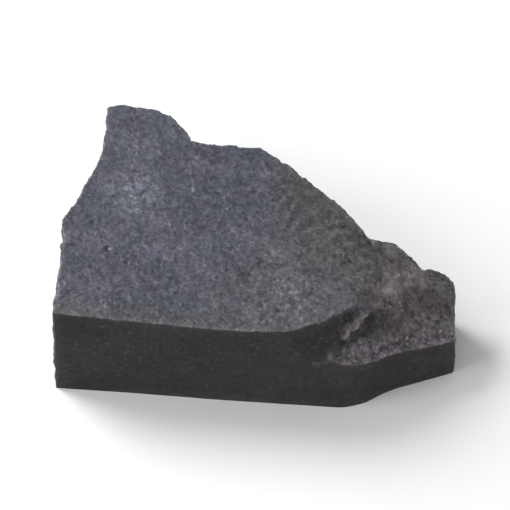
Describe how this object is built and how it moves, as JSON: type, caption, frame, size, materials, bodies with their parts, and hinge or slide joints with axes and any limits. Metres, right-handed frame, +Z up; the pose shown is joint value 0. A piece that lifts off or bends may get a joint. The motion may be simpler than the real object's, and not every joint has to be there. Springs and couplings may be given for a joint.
{
  "type": "rough hematite",
  "caption": "Rough slab of massive hematite: a flat, finely granular top face, a smooth front face and one broken corner with a scarp and a coarse shelf.",
  "frame": {"origin": "bottom centre of the slab's bounding box, on the plane it rests on", "axes": "+X along the longest side towards the broken corner, +Y from the smooth front face to the narrow tip, +Z up out of the flat top face"},
  "size_m": [0.0506, 0.0386, 0.0141],
  "materials": {
    "hematite": "dark violet grey massive hematite, fine-grained and faintly metallic, matt on the broken faces"
  },
  "bodies": {
    "root": {"hematite_slab": "hematite"}
  },
  "joints": []
}
